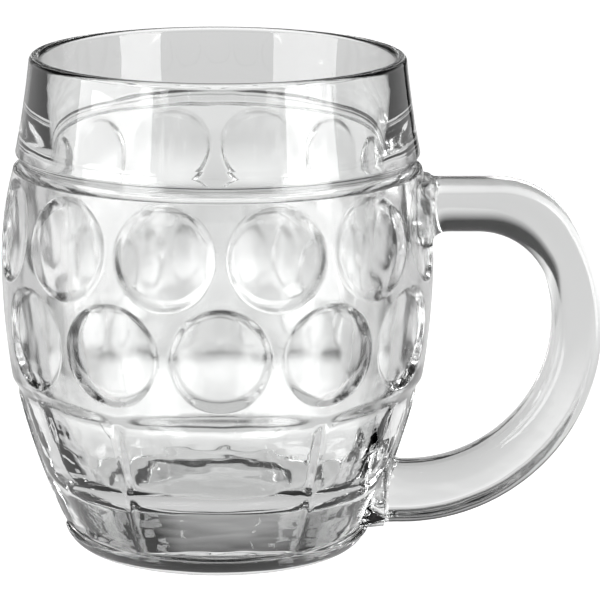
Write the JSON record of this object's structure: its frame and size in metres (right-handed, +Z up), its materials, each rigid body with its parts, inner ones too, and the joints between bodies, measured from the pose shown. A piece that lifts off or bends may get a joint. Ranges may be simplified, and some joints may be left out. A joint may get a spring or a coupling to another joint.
{
  "type": "dimpled glass beer mug",
  "caption": "Barrel-shaped clear glass beer mug with two staggered rows of round dimples, a panelled base, a plain collar and a solid glass handle.",
  "frame": {"origin": "centre of the foot, on the table and on the bowl's axis", "axes": "+Z up along the bowl's axis, +X towards the handle"},
  "size_m": [0.1437, 0.1034, 0.12],
  "materials": {
    "clear_glass": "gloss"
  },
  "bodies": {
    "root": {"bowl": "clear_glass", "handle": "clear_glass"}
  },
  "joints": []
}
